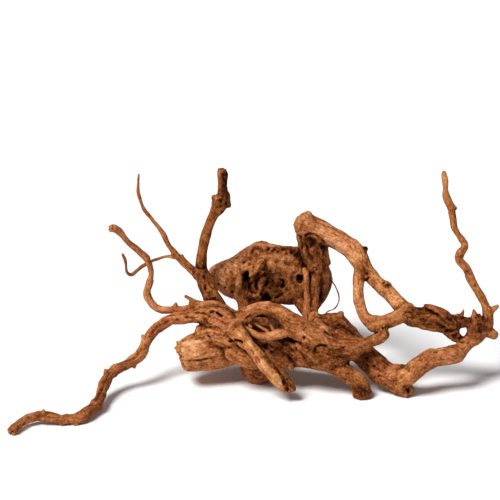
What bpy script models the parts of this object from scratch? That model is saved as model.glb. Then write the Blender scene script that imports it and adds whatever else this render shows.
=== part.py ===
# Driftwood: one weathered shrub root, 0.5 m wide, with a hollowed stump at its middle.
# It lies on its long runner, two right feet, a ball of wood and a root at the back.
#
# The points of every limb are taken off one drawing of the wood, made from a fixed eye in
# front of it and above it. Each point is (across, up, back, radius) in millimetres:
# across and up on the drawing, back from the front tip along the floor, and the radius as
# drawn. The function place() turns a drawn point into its real place.
import math

import bmesh
import bpy
from mathutils import Vector

MM = 0.001
EYE_TILT = math.radians(25.0)
EYE_DISTANCE = 2000.0

# The middle of the wood's own box, measured from the drawing's zero
MIDDLE_ACROSS = 8.7
MIDDLE_BACK = 128.0

# How far a limb's end reaches past its last point, as a share of its radius
ROUND = 1.0
BROKEN = 0.35
CAP_ANGLES = (25, 50, 72, 88)

STEP_ALONG = 3.0
TUBE_ROUNDNESS = 4
HAIR_ROUNDNESS = 1
LEAST_RADIUS = 0.3

VOXEL = 1.1
HOLLOW_VOXEL = 1.8
SMOOTH_STEPS = 3
TRIANGLES = 8600
FLOOR_CUT = (0.8, 0.8, 0.1)

WOOD_COLOUR = (0.42, 0.21, 0.09, 1.0)
WOOD_ROUGHNESS = 0.75


def limb(*points, start=ROUND, end=ROUND):
    """A limb: its drawn points, and how its two ends are finished."""
    return {"points": points, "start": start, "end": end}


# The long runner comes forward to the floor at the left. On its other side it crosses the
# front of the wood as the lightest root, down to a split tip.
RUNNER = limb(
    (-237.5, 6, 4, 4.4), (-232, 12, 13, 4.2), (-223, 18, 24, 4.4), (-212, 21, 30, 4.8),
    (-201, 18, 28, 4.6), (-189, 16, 27, 4.6), (-174, 16, 29, 4.8), (-163, 21, 36, 5.4),
    (-153, 30, 55, 5.6), (-150, 40, 74, 5.0), (-147, 51, 90, 4.5), (-140, 62, 104, 4.1),
    (-131, 69, 112, 4.1), (-120, 74, 118, 4.3), (-110, 81, 126, 4.6), (-104, 94, 136, 4.1),
    (-96, 105, 142, 4.1), (-87, 112, 144, 4.5), (-76, 118, 142, 4.8), (-62, 119, 138, 5.0),
    (-46, 118, 132, 6.5), (-32, 115, 125, 7.5), (-19, 107, 116, 7.5), (-6, 95, 104, 6.6),
    (5, 84, 96, 6.3), (12, 73, 90, 6.2), (22, 61, 86, 6.0), (31, 51, 84, 4.6),
    (35, 47.5, 83, 3.6), start=BROKEN)
RUNNER_NUBS = [
    limb((-205, 19, 28, 3.5), (-205, 26, 30, 1.6)),
    limb((-142, 62, 104, 3.5), (-144, 66, 105, 1.8)),
    limb((-117, 75, 119, 3.5), (-115, 69, 117, 1.6)),
    limb((-104, 96, 137, 3.5), (-107, 100, 138, 1.8)),
    limb((-151, 32, 58, 4.5), (-148, 28, 56, 2.0)),
    limb((-174, 16, 29, 4.0), (-173, 11, 27, 2.0)),
    limb((22, 73, 90, 3.2), (32, 64, 88, 3.2), (40, 54, 86, 3.0), (44, 47, 84, 2.0)),
]

# The hook rises at the left. Its root runs on over the front as the upper arc, and ends in
# the strap that joins the knot below the ring.
HOOK = limb(
    (-139, 208.5, 150, 3.2), (-130, 206, 153, 3.6), (-120, 194, 157, 3.1),
    (-111, 186, 160, 3.5), (-103, 179, 162, 3.2), (-100, 169, 164, 2.7), (-99, 161, 166, 3.0),
    (-102, 149, 168, 3.4), (-103, 142, 168, 3.5), (-98, 133, 166, 3.8), (-91, 127.5, 163, 3.7),
    (-79, 126.5, 158, 3.8), (-63, 127, 152, 4.2), (-50, 129, 147, 5.6), (-38, 127.5, 142, 7.0),
    (-24, 122.5, 137, 7.2), (-12, 118, 131, 7.5), (-2, 122.5, 127, 7.0), (11, 127.5, 122, 6.6),
    (24, 125, 117, 7.4), (38, 118, 112, 8.6), (52, 108, 109, 9.5), (66, 99, 106, 10.0),
    (82, 90, 104, 9.5), (98, 88.5, 104, 8.5), (111, 91, 108, 6.5), (124, 97, 116, 5.4),
    (133, 101, 124, 5.6), start=BROKEN)
HOOK_NUBS = [
    limb((-102, 178, 162, 2.6), (-106, 183, 162, 1.4)),
    limb((-75, 128, 157, 3.2), (-74, 132, 157, 1.8)),
    limb((-50, 134, 150, 3.0), (-64, 140.5, 152, 1.1)),
]
WEB = [
    limb((-44, 122, 138, 6.0), (-28, 118, 128, 7.0), (-16, 110, 118, 7.0), (-8, 102, 110, 6.5)),
    limb((-40, 114, 130, 7.0), (-24, 110, 122, 8.0), (-12, 114, 122, 7.0), (-4, 119, 124, 6.5)),
]
LOWER_ARC = limb(
    (-12, 111, 120, 4.0), (-4, 108, 116, 3.2), (2, 104, 113, 3.4), (10, 100, 110, 3.6),
    (20, 100, 108, 4.4), (32, 103, 107, 5.4), (42, 105, 108, 7.0), (52, 104, 110, 8.0))
EYE_ROOTLETS = [
    limb((2, 116, 142, 2.6), (20, 111, 140, 2.2), (38, 104, 136, 2.6)),
    limb((22, 122, 136, 1.8), (27, 112, 136, 1.6), (29, 102, 132, 2.0)),
]

# The trunk stands behind the hook's root. It splits into the tall broken stub and a long
# twig, from which a thinner twig loops forward.
TRUNK = limb(
    (-30, 121, 148, 9.0), (-33, 131, 153, 11.0), (-39, 144, 162, 10.0), (-45, 156, 170, 9.0),
    (-49, 166, 176, 7.0), (-49, 174, 179, 5.2), (-48, 186, 181, 4.7), (-43.5, 205, 185, 4.4),
    (-38, 219, 188, 4.7), (-31, 231, 190, 7.0), (-27, 238, 192, 7.0), (-27, 246, 193, 5.0),
    (-26.5, 258, 194, 5.0), (-26.5, 266, 195, 4.5), end=BROKEN)
TRUNK_NUBS = [
    limb((-34, 236, 190, 3.5), (-37, 239, 190, 2.2)),
    limb((-24, 232, 191, 4.0), (-21, 231, 191, 2.6)),
]
TWIG = limb(
    (-112, 261, 205, 1.1), (-112, 245, 203, 1.5), (-107, 230, 200, 1.6), (-95, 215, 197, 1.8),
    (-85, 201, 194, 2.1), (-75, 182, 190, 2.6), (-65, 175, 186, 3.4), (-55, 166, 181, 5.0),
    (-47, 158, 174, 6.0))
TWIG_SPLINTER = limb((-63, 174, 186, 2.5), (-67, 180, 187, 0.9))
LOOP_TWIG = limb(
    (-70, 178, 188, 2.2), (-83, 180, 191, 1.6), (-93, 177, 193, 1.5), (-99, 175, 194, 1.5),
    (-109, 168, 195, 1.5), (-118, 161, 194, 1.6), (-124, 164, 192, 1.5),
    (-125, 174, 190, 1.5), (-128, 181, 189, 1.4))

# The broken log at the lower left, its shoulder, the lump beside it, the ball that touches
# the floor and the front body are the swollen middle of the root.
LEFT_LOG = limb(
    (-68, 79, 123, 12.5), (-65, 80, 124, 14.5), (-60, 82, 127, 16.2), (-47, 86, 132, 19.5),
    (-33, 88, 136, 21.5), (-18, 92, 138, 19.0), start=BROKEN)
LOG_SPLINTERS = [
    limb((-60, 89, 124, 5.0), (-73, 94, 122, 1.3)),
    limb((-64, 83, 120, 4.0), (-75, 88.5, 118, 1.2)),
]
LOG_SHOULDER = limb(
    (-44, 101, 131, 12.0), (-32, 103, 127, 14.0), (-18, 99, 121, 13.0), (-8, 91, 114, 10.0))
LUMP = limb((-20, 88, 119, 8.5), (-14, 84, 113, 10.5), (-4, 79, 109, 10.8), (3, 76, 108, 9.0))
BALL = limb((0, 76, 138, 9.0), (4, 67, 138.5, 13.0), (12, 66, 138.5, 12.8), (20, 74, 138, 10.0))
BODY = limb(
    (-14, 104, 140, 13.0), (10, 92, 136, 17.0), (30, 88, 132, 18.0), (46, 89, 124, 19.5),
    (58, 90, 118, 21.0), (70, 87, 114, 20.0), (82, 83, 111, 16.5), (88, 82, 110, 12.0))
BODY_EDGE = limb((24, 86, 122, 12.0), (34, 78, 116, 9.5), (40, 74, 112, 6.5))
FOOT = limb(
    (76, 78, 110, 12.0), (88, 70, 104, 9.4), (101, 60.5, 100, 9.0), (109, 52, 98, 9.4),
    (112.5, 42, 97, 9.6), end=BROKEN)

# The rear slab runs down to the far right foot, and the right root climbs from there to
# the root of the antler.
SLAB = limb(
    (68, 109, 152, 8.5), (74, 109, 153, 10.5), (84, 111, 156, 12.0), (96, 102, 152, 12.5),
    (106, 90, 142, 13.0), (120, 77, 126, 12.0), (134, 64, 113, 12.0), (147, 55, 103, 12.0),
    (155, 48, 99, 9.5), (161, 43.5, 97, 7.0), end=BROKEN)
SLAB_TOP = limb((72, 118, 160, 4.5), (81, 119.5, 162, 4.2), (89, 118, 161, 3.6),
                (96, 108, 156, 4.6))
RIGHT_ROOT = limb(
    (150, 57, 102, 10.0), (160, 63, 100, 10.0), (171, 72, 102, 9.5), (183, 78, 106, 8.5),
    (197, 82, 110, 8.5), (208, 85, 116, 8.5), (217, 92, 124, 8.0), (228, 100, 132, 8.0),
    (236, 108, 138, 6.5))

# The stump at the back, its rotten front hollow and holes, the legs that carry it and the
# root that holds it up behind.
STUMP = limb(
    (-39, 164, 199, 3.5), (-30, 159, 203, 14.0), (-10, 157, 212, 22.0), (12, 163.5, 222, 29.0),
    (40, 159.5, 224, 28.0), (60, 157, 220, 22.0), (71, 154, 212, 10.0))
STUMP_TOP = limb((0, 181, 214, 10.0), (14, 185, 216, 10.0), (30, 180, 214, 9.5),
                 (48, 180, 212, 9.5))
STUMP_BASE = limb((-2, 141, 208, 8.5), (14, 141.5, 208, 9.5), (30, 141.5, 208, 9.5),
                  (44, 143, 206, 9.5))
STUMP_HOLLOWS = [
    limb((2, 152, 190, 13.0), (16, 149, 189, 17.0), (32, 149, 189, 17.0), (44, 151, 190, 13.0)),
    limb((-3, 157, 188, 6.0), (-3, 157, 214, 5.0)),
    limb((15, 140, 186, 5.5), (17, 139, 216, 5.0)),
    limb((49, 157, 186, 5.0), (49, 157, 216, 4.5)),
]
STUMP_LEG = limb(
    (-10, 150, 200, 9.0), (-7.5, 138, 196, 6.5), (-6, 126, 188, 6.0), (-7, 116, 172, 6.0),
    (-4, 104, 152, 9.0))
STUMP_RIGHT_LEG = limb(
    (44, 150, 208, 11.0), (50, 136, 202, 8.0), (59, 125, 190, 7.0), (63, 111, 168, 7.0))
STUMP_RIM = limb(
    (76, 158, 212, 5.0), (77, 148, 208, 5.0), (72, 138, 202, 7.0), (66, 128, 192, 6.0))
FINGER = limb(
    (1, 162, 182, 2.2), (5, 167, 183, 3.2), (9, 171, 187, 3.6), (11, 172, 196, 4.4),
    (11, 170, 210, 5.0))
BACK_ROOT = limb(
    (8, 152, 232, 16.0), (12, 128, 232, 13.0), (20, 109, 238, 11.0), (40, 101, 242, 10.2),
    (62, 101, 243, 10.0), (84, 99, 240, 9.2), (100, 97, 232, 7.0))
BACK_LEG = limb((8, 104, 160, 14.0), (12, 106, 190, 11.0), (18, 112, 232, 10.0))

# The rotten pillar and its two struts carry the arch.
PILLAR = limb(
    (59, 213, 199, 9.0), (60, 206, 198, 12.0), (63, 192, 200, 14.5), (66, 178, 202, 13.5),
    (70, 162, 204, 9.5), (68, 148, 200, 8.0))
STRUTS = [
    limb((56, 166, 198, 3.0), (56, 156, 190, 2.8), (56.5, 140, 186, 2.6), (57.5, 114, 168, 3.2)),
    limb((66, 164, 200, 5.0), (65, 152, 192, 4.0), (64.5, 138, 187, 3.4), (64, 114, 168, 4.0)),
]

# The arch divides round the ring and joins the bar.
ARCH = limb(
    (48, 212, 200, 4.5), (51, 211.5, 200, 9.0), (57, 210.5, 200, 12.0), (65, 208, 200, 13.0),
    (80, 201, 197, 11.5), (92, 195, 193, 11.0), (103, 187, 187, 10.0), (111, 176, 180, 9.3),
    (116, 167, 174, 8.0), (126, 155, 162, 7.0), (138, 145, 152, 7.2), (148, 134, 142, 8.0),
    (156, 125, 136, 9.0), (162, 119, 134, 9.5), start=BROKEN)
ARCH_TIP = limb((55, 213, 199, 9.0), (59, 220, 199, 5.0))
ARCH_NUB = limb((112, 182, 182, 3.5), (116, 187, 182, 2.0))
RING_INSIDE = limb(
    (113, 171, 177, 6.0), (110, 162, 172, 6.0), (109, 146, 160, 5.0), (111, 129, 146, 5.2),
    (115, 119, 136, 6.0), (123, 113, 130, 7.5), (134, 114, 128, 7.0), (145, 118, 129, 7.5),
    (156, 125, 134, 8.5))
KNOT = limb((126, 113, 128, 7.0), (131, 106, 122, 7.0), (131, 100, 116, 6.5), (124, 96, 112, 5.0))

# The bar parts round a small through hole at its right end. A stub lies on it and two
# spikes stand on it.
BAR = limb((160, 120, 134, 9.5), (174, 118, 133, 11.0), (186, 116, 132, 11.5),
           (194, 113, 131, 10.5))
BAR_ABOVE_HOLE = limb(
    (196, 116, 131, 7.0), (206, 113.5, 131, 6.8), (216, 114, 132, 4.8), (226, 112, 134, 7.5),
    (236, 112, 136, 7.0))
BAR_BELOW_HOLE = limb(
    (198, 105, 130, 7.0), (206, 98.5, 129, 5.4), (216, 95.5, 128, 4.6), (225, 100, 130, 6.6))
BAR_STUB = limb((176, 128, 132, 4.2), (183, 126, 130, 5.6), (192, 121, 127, 6.0),
                (202, 112, 125, 5.0), start=BROKEN)
BAR_SPIKES = [
    limb((211, 117, 132, 3.8), (213, 125, 132, 0.9)),
    limb((222, 117, 133, 4.0), (223.5, 125.5, 133, 1.1)),
]

# The antler stands on the right end.
ANTLER = limb(
    (193.5, 263.5, 190, 2.4), (195, 254, 188, 3.2), (196, 240, 186, 3.2), (202, 228, 182, 3.5),
    (203, 217, 178, 3.2), (205, 207, 174, 3.2), (210, 199, 170, 3.5), (215, 191, 166, 3.5),
    (211, 183, 163, 3.6), (208, 176, 160, 3.7), (216, 168, 156, 3.6), (222, 157, 152, 3.8),
    (228, 146, 148, 4.0), (234, 135, 143, 4.2), (237.5, 124, 139, 5.5), (237.5, 112, 137, 6.8))
ANTLER_NUBS = [
    limb((240, 124, 138, 4.0), (247, 129.5, 138, 2.2)),
    limb((239, 109, 137, 6.5), (244, 101, 134, 4.2)),
    limb((203, 229, 182, 2.6), (206.5, 228, 182, 1.4)),
]

# A hair-thin rootlet loops out of the stump's right side and back to the slab.
HAIR = limb(
    (74, 152, 206, 0.6), (80, 156, 204, 0.6), (86, 148, 200, 0.6), (89, 137, 195, 0.6),
    (85, 128, 188, 0.6), (77, 124, 178, 0.6), (73, 118, 168, 0.6))

STUMP_LIMBS = [STUMP, STUMP_TOP, STUMP_BASE]
OTHER_LIMBS = [
    RUNNER, *RUNNER_NUBS, HOOK, *HOOK_NUBS, *WEB, LOWER_ARC, *EYE_ROOTLETS, TRUNK,
    *TRUNK_NUBS, TWIG, TWIG_SPLINTER, LOOP_TWIG, LEFT_LOG, *LOG_SPLINTERS, LOG_SHOULDER,
    LUMP, BALL, BODY, BODY_EDGE, FOOT, SLAB, SLAB_TOP, RIGHT_ROOT, STUMP_LEG,
    STUMP_RIGHT_LEG, STUMP_RIM, FINGER, BACK_ROOT, BACK_LEG, PILLAR, *STRUTS, ARCH, ARCH_TIP,
    ARCH_NUB, RING_INSIDE, KNOT, BAR, BAR_ABOVE_HOLE, BAR_BELOW_HOLE, BAR_STUB, *BAR_SPIKES,
    ANTLER, *ANTLER_NUBS,
]


def place(across, up, back):
    """The real place, in millimetres, of a point drawn at (across, up) and lying this far
    back, and how much bigger it is there than it is drawn."""
    tilt_cos = math.cos(EYE_TILT)
    tilt_sin = math.sin(EYE_TILT)
    eye = Vector((0.0, -EYE_DISTANCE * tilt_cos, EYE_DISTANCE * tilt_sin))
    drawn = Vector((across, up * tilt_sin, up * tilt_cos))
    ray = drawn - eye
    reach = (back - eye.y) / ray.y
    middle = Vector((MIDDLE_ACROSS, MIDDLE_BACK, 0.0))
    return eye + ray * reach - middle, reach


def smooth_line(limb_drawn):
    """Points (x, y, z, radius) along one smooth line through a limb's drawn points."""
    placed = []
    for across, up, back, radius in limb_drawn["points"]:
        spot, reach = place(across, up, back)
        placed.append((*spot, radius * reach))
    before = [2 * a - b for a, b in zip(placed[0], placed[1])]
    after = [2 * a - b for a, b in zip(placed[-1], placed[-2])]
    padded = [before, *placed, after]
    line = []
    for i in range(1, len(padded) - 2):
        four = padded[i - 1:i + 3]
        length = (Vector(four[2][:3]) - Vector(four[1][:3])).length
        steps = max(1, round(length / STEP_ALONG))
        for k in range(steps):
            t = k / steps
            line.append([
                0.5 * (2 * b + (c - a) * t + (2 * a - 5 * b + 4 * c - d) * t ** 2
                       + (3 * b - a - 3 * c + d) * t ** 3)
                for a, b, c, d in zip(*four)])
    line.append(list(placed[-1]))
    return line


def end_cap(tip, inner, share):
    """Points that round off a limb past its tip, away from the point inside it."""
    outward = (Vector(tip[:3]) - Vector(inner[:3])).normalized()
    cap = []
    for degrees in CAP_ANGLES:
        angle = math.radians(degrees)
        spot = Vector(tip[:3]) + outward * tip[3] * share * math.sin(angle)
        cap.append([*spot, tip[3] * math.cos(angle)])
    return cap


def tube(limb_drawn, roundness=TUBE_ROUNDNESS):
    """A closed tube along a limb, as a mesh."""
    line = smooth_line(limb_drawn)
    start = end_cap(line[0], line[1], limb_drawn["start"])
    end = end_cap(line[-1], line[-2], limb_drawn["end"])
    line = start[::-1] + line + end

    curve = bpy.data.curves.new("limb", "CURVE")
    curve.dimensions = "3D"
    curve.bevel_depth = MM
    curve.bevel_resolution = roundness
    curve.use_fill_caps = True
    spline = curve.splines.new("POLY")
    spline.points.add(len(line) - 1)
    for point, (x, y, z, radius) in zip(spline.points, line):
        point.co = (x * MM, y * MM, z * MM, 1.0)
        point.radius = max(radius, LEAST_RADIUS)
    guide = bpy.data.objects.new("limb", curve)
    bpy.context.scene.collection.objects.link(guide)
    shape = guide.evaluated_get(bpy.context.evaluated_depsgraph_get())
    mesh = bpy.data.meshes.new_from_object(shape)
    bpy.data.objects.remove(guide)
    return mesh


def joined(meshes, name):
    """One object that holds all these meshes."""
    whole = bmesh.new()
    for mesh in meshes:
        whole.from_mesh(mesh)
        bpy.data.meshes.remove(mesh)
    data = bpy.data.meshes.new(name)
    whole.to_mesh(data)
    whole.free()
    thing = bpy.data.objects.new(name, data)
    bpy.context.scene.collection.objects.link(thing)
    return thing


def settle(thing):
    """Puts an object's modifiers into its mesh."""
    shape = thing.evaluated_get(bpy.context.evaluated_depsgraph_get())
    data = bpy.data.meshes.new_from_object(shape)
    thing.modifiers.clear()
    old = thing.data
    thing.data = data
    bpy.data.meshes.remove(old)


def grow_together(thing, voxel):
    """Makes one skin of overlapping closed shapes."""
    skin = thing.modifiers.new("one skin", "REMESH")
    skin.mode = "VOXEL"
    skin.voxel_size = voxel * MM
    settle(thing)


def combine(thing, other, operation):
    """Cuts another closed shape out of this one, or joins it on."""
    step = thing.modifiers.new("combine", "BOOLEAN")
    step.operation = operation
    step.solver = "EXACT"
    step.object = other
    settle(thing)
    bpy.data.objects.remove(other)


def keep_largest_shell(thing):
    """Removes the closed hollows and crumbs that the joining leaves, so one skin remains."""
    skin = bmesh.new()
    skin.from_mesh(thing.data)
    unseen = set(skin.verts)
    shells = []
    while unseen:
        start = unseen.pop()
        shell = {start}
        search = [start]
        while search:
            vertex = search.pop()
            for edge in vertex.link_edges:
                other = edge.other_vert(vertex)
                if other in unseen:
                    unseen.discard(other)
                    shell.add(other)
                    search.append(other)
        shells.append(shell)
    shells.sort(key=len)
    for shell in shells[:-1]:
        bmesh.ops.delete(skin, geom=list(shell), context="VERTS")
    skin.to_mesh(thing.data)
    skin.free()


def make_stump():
    """The swollen stump, with its rotten front hollow and the three holes in it."""
    stump = joined([tube(part) for part in STUMP_LIMBS], "stump")
    grow_together(stump, HOLLOW_VOXEL)
    hollow = joined([tube(part) for part in STUMP_HOLLOWS], "hollow")
    grow_together(hollow, HOLLOW_VOXEL)
    combine(stump, hollow, "DIFFERENCE")
    mesh = stump.data.copy()
    bpy.data.objects.remove(stump)
    return mesh


def cut_feet_flat(thing):
    """Cuts off what reaches below the floor, so that the feet rest on flat faces."""
    bpy.ops.mesh.primitive_cube_add(size=1.0, location=(0.0, 0.0, -FLOOR_CUT[2] / 2))
    below = bpy.context.object
    below.scale = FLOOR_CUT
    combine(thing, below, "DIFFERENCE")


def wood_material():
    """Dry, bare, warm brown wood."""
    wood = bpy.data.materials.new("driftwood")
    wood.use_nodes = True
    shader = wood.node_tree.nodes["Principled BSDF"]
    shader.inputs["Base Color"].default_value = WOOD_COLOUR
    shader.inputs["Roughness"].default_value = WOOD_ROUGHNESS
    shader.inputs["Metallic"].default_value = 0.0
    return wood


def main():
    for old in list(bpy.data.objects):
        bpy.data.objects.remove(old)

    wood = joined([make_stump()] + [tube(part) for part in OTHER_LIMBS], "driftwood")
    grow_together(wood, VOXEL)
    keep_largest_shell(wood)

    smoothing = wood.modifiers.new("worn smooth", "SMOOTH")
    smoothing.factor = 0.5
    smoothing.iterations = SMOOTH_STEPS
    fewer = wood.modifiers.new("fewer faces", "DECIMATE")
    fewer.ratio = TRIANGLES / (2.0 * len(wood.data.polygons))
    fewer.use_collapse_triangulate = True
    settle(wood)

    combine(wood, joined([tube(HAIR, HAIR_ROUNDNESS)], "hair"), "UNION")
    cut_feet_flat(wood)
    wood.data.shade_smooth()
    wood.data.materials.append(wood_material())


main()
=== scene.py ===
import math
import bpy
import numpy as np
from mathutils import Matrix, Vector


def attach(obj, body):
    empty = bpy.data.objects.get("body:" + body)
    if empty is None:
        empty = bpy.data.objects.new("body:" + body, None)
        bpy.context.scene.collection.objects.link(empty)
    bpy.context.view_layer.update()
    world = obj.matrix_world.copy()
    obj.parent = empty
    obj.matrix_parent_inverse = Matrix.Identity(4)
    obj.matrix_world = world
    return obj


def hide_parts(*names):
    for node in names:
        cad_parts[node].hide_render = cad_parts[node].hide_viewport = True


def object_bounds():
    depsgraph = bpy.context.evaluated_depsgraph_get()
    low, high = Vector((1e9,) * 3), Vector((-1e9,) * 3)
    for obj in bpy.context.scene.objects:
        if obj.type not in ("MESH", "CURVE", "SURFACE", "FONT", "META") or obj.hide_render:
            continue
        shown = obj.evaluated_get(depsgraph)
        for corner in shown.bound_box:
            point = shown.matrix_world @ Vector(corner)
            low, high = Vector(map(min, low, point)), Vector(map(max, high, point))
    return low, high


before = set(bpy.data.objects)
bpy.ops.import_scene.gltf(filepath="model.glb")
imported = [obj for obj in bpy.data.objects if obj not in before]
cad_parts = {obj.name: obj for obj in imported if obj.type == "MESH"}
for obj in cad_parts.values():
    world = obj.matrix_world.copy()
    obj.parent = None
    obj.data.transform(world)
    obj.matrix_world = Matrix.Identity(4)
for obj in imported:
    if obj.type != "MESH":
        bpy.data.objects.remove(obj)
CAD_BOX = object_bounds()

# The eye that the whole root is drawn from: 2 m in front of it, looking 25 degrees down at
# the front tip. The camera stands at the same spot, so a limb shows where it was drawn.
EYE_TILT = math.radians(25.0)
EYE_DISTANCE = 2000.0
MIDDLE_ACROSS = 8.7
MIDDLE_BACK = 128.0
MM = 0.001
EYE = np.array([0.0, -EYE_DISTANCE * math.cos(EYE_TILT), EYE_DISTANCE * math.sin(EYE_TILT)])
MIDDLE = np.array([MIDDLE_ACROSS, MIDDLE_BACK, 0.0])


def drawn_at(across, up):
    return np.array([across, up * math.sin(EYE_TILT), up * math.cos(EYE_TILT)])


def place(across, up, back):
    """Real place in millimetres of a drawn point that lies this far back, and how much
    bigger it is there than drawn. With several values for back, a place for each."""
    ray = drawn_at(across, up) - EYE
    reach = (back - EYE[1]) / ray[1]
    return EYE + np.multiply.outer(reach, ray) - MIDDLE, reach


AIM_UP = 186.0
PICTURE_WIDTH = 500.0
SENSOR = 36.0
NEAREST, FURTHEST = 0.05, 60.0
look = drawn_at(0.0, AIM_UP) - EYE
lens = bpy.data.cameras.new("camera")
lens.sensor_width = SENSOR
lens.lens = SENSOR * float(np.linalg.norm(look)) / PICTURE_WIDTH
lens.clip_start, lens.clip_end = NEAREST, FURTHEST
camera = bpy.data.objects.new("camera", lens)
bpy.context.scene.collection.objects.link(camera)
camera.location = Vector((EYE - MIDDLE) * MM)
camera.rotation_euler = Vector(look).to_track_quat("-Z", "Y").to_euler()
bpy.context.scene.camera = camera

# The runner is the longest root: it comes forward to the floor at the left, and on its
# other side it crosses the front as the lightest root. Every limb of the wood melts into
# one skin here, as it grew, so each is first drawn into the same block of space.
CELL = 1.0
REACH = 6.5
EDGE = REACH - 0.5
STEP_ALONG = 2.5
THINNEST = 0.5
ROUND = 1.0
BROKEN = 0.35
MARGIN = 6.0
space_low = np.array(CAD_BOX[0]) / MM - MARGIN
space_high = np.array(CAD_BOX[1]) / MM + MARGIN
space_size = np.ceil((space_high - space_low) / CELL).astype(int) + 1
space = np.full(space_size, REACH, np.float32)
limbs = []
hollows = []

CHANCE_SEED = 11
LATTICE = 64
SHIFTS = (7, 13, 29)
chance = np.random.default_rng(CHANCE_SEED)
lattice = chance.uniform(-1.0, 1.0, (LATTICE, LATTICE, LATTICE)).astype(np.float32)


def bumps(sizes, where, shift):
    """Smooth random bumps between -1 and 1, about as long, wide and deep as the sizes."""
    where = [c / size for c, size in zip(where, sizes)]
    whole = [np.floor(c).astype(np.int32) for c in where]
    part = [c - w for c, w in zip(where, whole)]
    fx, fy, fz = [p * p * (3.0 - 2.0 * p) for p in part]
    near = [(w + shift * k) % LATTICE for w, k in zip(whole, SHIFTS)]
    far = [(n + 1) % LATTICE for n in near]
    total = 0.0
    for ix, wx in ((near[0], 1.0 - fx), (far[0], fx)):
        for iy, wy in ((near[1], 1.0 - fy), (far[1], fy)):
            total = total + wx * wy * (lattice[ix, iy, near[2]] * (1.0 - fz)
                                       + lattice[ix, iy, far[2]] * fz)
    return total


def line_through(points):
    """Centres and radii along one smooth line through a limb's drawn points."""
    placed = []
    for across, up, back, radius in points:
        spot, reach = place(across, up, back)
        placed.append([*spot, radius * reach])
    placed = np.array(placed)
    padded = np.vstack([2 * placed[0] - placed[1], placed, 2 * placed[-1] - placed[-2]])
    line = []
    for i in range(1, len(padded) - 2):
        a, b, c, d = padded[i - 1:i + 3]
        steps = max(1, round(float(np.linalg.norm((c - b)[:3])) / STEP_ALONG))
        for t in np.arange(steps) / steps:
            line.append(0.5 * (2 * b + (c - a) * t + (2 * a - 5 * b + 4 * c - d) * t ** 2
                               + (3 * b - a - 3 * c + d) * t ** 3))
    line = np.array([*line, placed[-1]])
    return line[:, :3], np.maximum(line[:, 3], THINNEST)


SLANT = (0.31, 0.17, 0.93)


def cross_frames(centres):
    """Two directions across the limb at each of its centres, turning with it."""
    along = np.gradient(centres, axis=0)
    along /= np.linalg.norm(along, axis=1)[:, None]
    side = np.cross(along[0], SLANT)
    sides = []
    for direction in along:
        side = side - direction * side.dot(direction)
        side /= np.linalg.norm(side)
        sides.append(side)
    sides = np.array(sides)
    return sides, np.cross(along, sides)


def dot(these, those):
    return sum(a * b for a, b in zip(these, those))


def measure(limb, places, keep, spread):
    """The distance to the limb's skin, and the place along and across the limb, for places
    x, y, z. keep picks those in a box, as each segment reaches no further than spread."""
    shape = np.broadcast_shapes(*(axis.shape for axis in places))
    skin = np.full(shape, REACH, np.float32)
    grain = [np.zeros(shape, np.float32) for _ in range(3)]
    centres, radii, lengths = limb["centres"], limb["radii"], limb["lengths"]
    for i in range(len(centres) - 1):
        a, b = centres[i:i + 2]
        ra, rb = radii[i:i + 2]
        wide = max(ra, rb) + spread
        part = keep(np.minimum(a, b) - wide, np.maximum(a, b) + wide)
        if part is None:
            continue
        window, near = part
        ab = b - a
        t = dot([p - c for p, c in zip(near, a)], ab) / ab.dot(ab)
        t = np.clip(t, 0.0, 1.0)
        off = [p - c - t * d for p, c, d in zip(near, a, ab)]
        distance = np.sqrt(dot(off, off)) - (ra + (rb - ra) * t)
        nearer = distance < skin[window]
        skin[window] = np.where(nearer, distance, skin[window])
        new = (lengths[i] + t * (lengths[i + 1] - lengths[i]),
               dot(off, limb["sides"][i]), dot(off, limb["ups"][i]))
        for old, value in zip(grain, new):
            old[window] = np.where(nearer, value, old[window])
    return skin, grain


def block_round(limb):
    """The cells of the block of space that a limb can reach, and their places."""
    wide = limb["radii"].max() + REACH
    low = np.floor((limb["centres"].min(0) - wide - space_low) / CELL).astype(int)
    high = np.ceil((limb["centres"].max(0) + wide - space_low) / CELL).astype(int) + 1
    low, high = np.clip((low, high), 0, space_size)
    axes = [(space_low[k] + np.arange(low[k], high[k]) * CELL).astype(np.float32)
            for k in range(3)]

    def keep(first, last):
        cut = [slice(*np.searchsorted(axis, ends)) for axis, *ends in zip(axes, first, last)]
        if any(c.start >= c.stop for c in cut):
            return None
        return tuple(cut), np.ix_(*(axis[c] for axis, c in zip(axes, cut)))

    return tuple(slice(*ends) for ends in zip(low, high)), np.ix_(*axes), keep


def places_of(cells, places):
    return [axis.ravel()[cell] for axis, cell in zip(places, cells)]


def draw(points, **looks):
    """A limb or hollow in the block of space: its line, the cells it can reach and their
    places, the distance to its skin, the grain's run, and the cells close to its skin."""
    centres, radii = line_through(points)
    sides, ups = cross_frames(centres)
    lengths = np.cumsum([0.0, *np.linalg.norm(np.diff(centres, axis=0), axis=1)])
    limb = dict(centres=centres, radii=radii, sides=sides, ups=ups, lengths=lengths, **looks)
    block, places, keep = block_round(limb)
    skin, run = measure(limb, places, keep, REACH)
    return limb, block, places, skin, run, np.nonzero(np.abs(skin) < EDGE)


def join(block, skin, melt, way):
    """Melts a limb into the wood where way is 1; takes a hollow off it where way is -1."""
    old = space[block]
    both = (skin < EDGE) & (skin < way * old + melt)
    a, b = way * old[both], skin[both]
    share = np.clip(0.5 + 0.5 * (a - b) / melt, 0.0, 1.0)
    old[both] = way * (a * (1.0 - share) + b * share - melt * share * (1.0 - share))


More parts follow.
